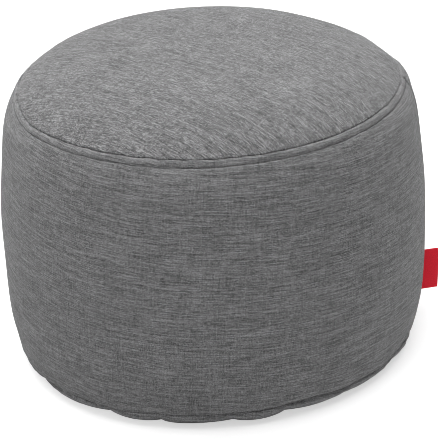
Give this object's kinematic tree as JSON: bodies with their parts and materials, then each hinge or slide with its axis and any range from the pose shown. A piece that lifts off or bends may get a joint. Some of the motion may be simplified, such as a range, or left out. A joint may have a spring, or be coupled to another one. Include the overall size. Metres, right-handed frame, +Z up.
{
  "type": "bean bag footstool",
  "caption": "Round filled footstool with a crowned woven top, a tall bulging side, felled topstitched seams and a small folded ribbon tag.",
  "frame": {"origin": "centre of the flat face it rests on, on the floor", "axes": "+Z up from the resting face through the crown, -Y towards the side seen in the picture, +X towards the side that carries the tag"},
  "size_m": [0.517, 0.5008, 0.3656],
  "materials": {
    "side_cloth": "dark grey melange weave with horizontal slubs, matt",
    "top_cloth": "grey melange weave with slubs that run slantwise, matt",
    "bottom_cloth": "plain dark grey weave, matt",
    "tag_ribbon": "plain red woven ribbon, slightly satiny"
  },
  "bodies": {
    "root": {"side_panel": "side_cloth", "top_panel": "top_cloth", "bottom_panel": "bottom_cloth", "tag": "tag_ribbon"}
  },
  "joints": []
}
